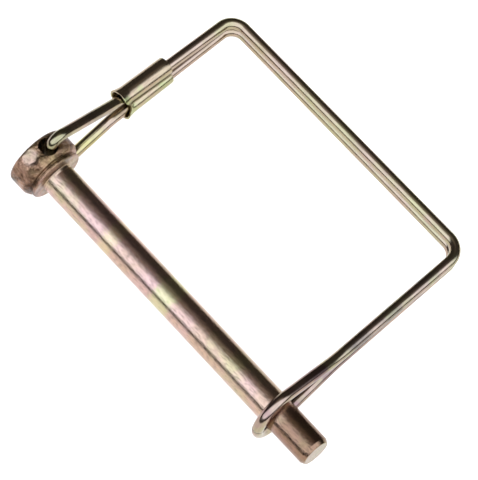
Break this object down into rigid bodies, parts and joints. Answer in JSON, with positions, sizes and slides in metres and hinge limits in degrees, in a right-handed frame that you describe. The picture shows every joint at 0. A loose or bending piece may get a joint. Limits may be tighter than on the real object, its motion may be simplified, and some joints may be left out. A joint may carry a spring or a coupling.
{
  "type": "wire lock pin",
  "caption": "Headed steel pin whose spring wire bail, hinged in the head's cross hole, loops over the pin's tip so that it cannot pull out.",
  "frame": {"origin": "on the shank's axis at the underside of the head, where the straight shank begins", "axes": "+X along the shank from the head to the tip, +Y from the shank to the far side of the closed bail, +Z along the cross hole in the head"},
  "size_m": [0.1147, 0.0831, 0.0264],
  "materials": {
    "plated_pin": "yellow chromate over zinc, satin",
    "plated_wire": "yellow chromate over zinc, semi-bright",
    "plated_sheet": "yellow chromate over zinc, satin"
  },
  "bodies": {
    "pin": {"lock_pin": "plated_pin"},
    "bail": {"wire_bail": "plated_wire", "crimp_sleeve": "plated_sheet"}
  },
  "joints": [
    {"name": "bail_swing", "type": "hinge", "parent": "pin", "child": "bail", "pos_m": [-0.00509, 0.00066, 0], "axis": [0, 0, 1], "range_deg": [0, 245]}
  ]
}
